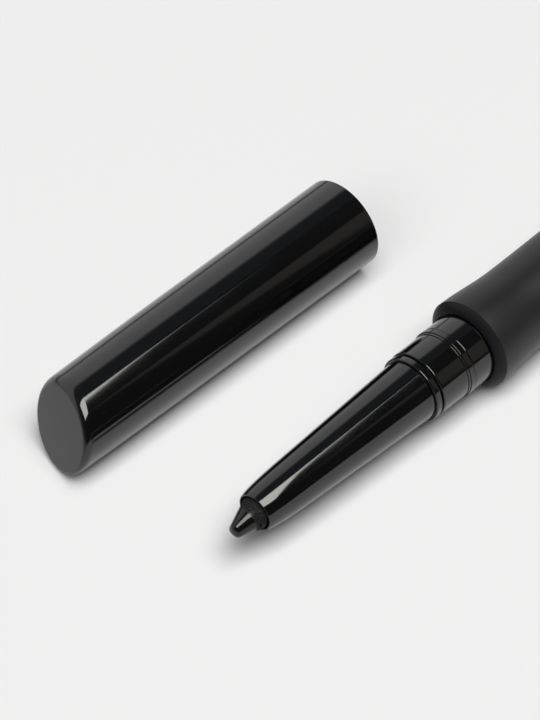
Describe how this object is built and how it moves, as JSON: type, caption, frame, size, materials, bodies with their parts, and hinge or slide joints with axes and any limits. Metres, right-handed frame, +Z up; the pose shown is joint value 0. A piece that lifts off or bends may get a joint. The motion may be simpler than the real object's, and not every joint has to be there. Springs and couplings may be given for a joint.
{
  "type": "retractable eyeliner pencil",
  "caption": "Round twist-up eyeliner pencil with a tapered nose, a flared matte barrel and a separate slant-ended gloss cap; turning the nose feeds the lead out or draws it in.",
  "frame": {"origin": "on the table under the middle of the box round the lying pencil and its cap", "axes": "+X along the pencil from the lead to the tail, +Y from the pencil towards the cap, +Z up from the table"},
  "size_m": [0.1276, 0.0328, 0.0105],
  "materials": {
    "gloss_black": "polished moulded black",
    "soft_touch_black": "soft-touch coat",
    "lead_wax": "waxy, slightly glossy on the point",
    "inner_black": "as moulded",
    "white_acetal": "as moulded",
    "seal_rubber": "dull"
  },
  "bodies": {
    "barrel": {"barrel_shell": "soft_touch_black", "barrel_liner": "inner_black", "helix_sleeve": "white_acetal", "mouth_bush": "inner_black", "tail_plug": "gloss_black"},
    "nose": {"nose_cone": "gloss_black", "nose_ring": "gloss_black", "nose_collar": "gloss_black", "friction_ring": "seal_rubber", "guide_sleeve": "white_acetal", "guide_end_stop": "inner_black"},
    "lead": {"lead_core": "lead_wax", "lead_holder": "white_acetal"},
    "cap": {"cap_shell": "gloss_black", "cap_inner_sleeve": "inner_black", "cap_seal_ring": "seal_rubber"}
  },
  "joints": [
    {"name": "nose_twist", "type": "hinge", "parent": "barrel", "child": "nose", "pos_m": [-0.02481, -0.01114, 0.00524], "axis": [1, 0, 0], "range_deg": [-228.5, 600.5]},
    {"name": "lead_feed", "type": "slide", "parent": "nose", "child": "lead", "axis": [-1, 0, 0], "range_m": [-0.0038, 0.01]},
    {"name": "cap_pull", "type": "slide", "parent": "barrel", "child": "cap", "axis": [-1, 0.0096, 0], "range_m": [0, 0.04]}
  ],
  "couplings": [
    {"joint": "nose_twist", "follows": "lead_feed", "rad_per_m": 1047.2}
  ]
}
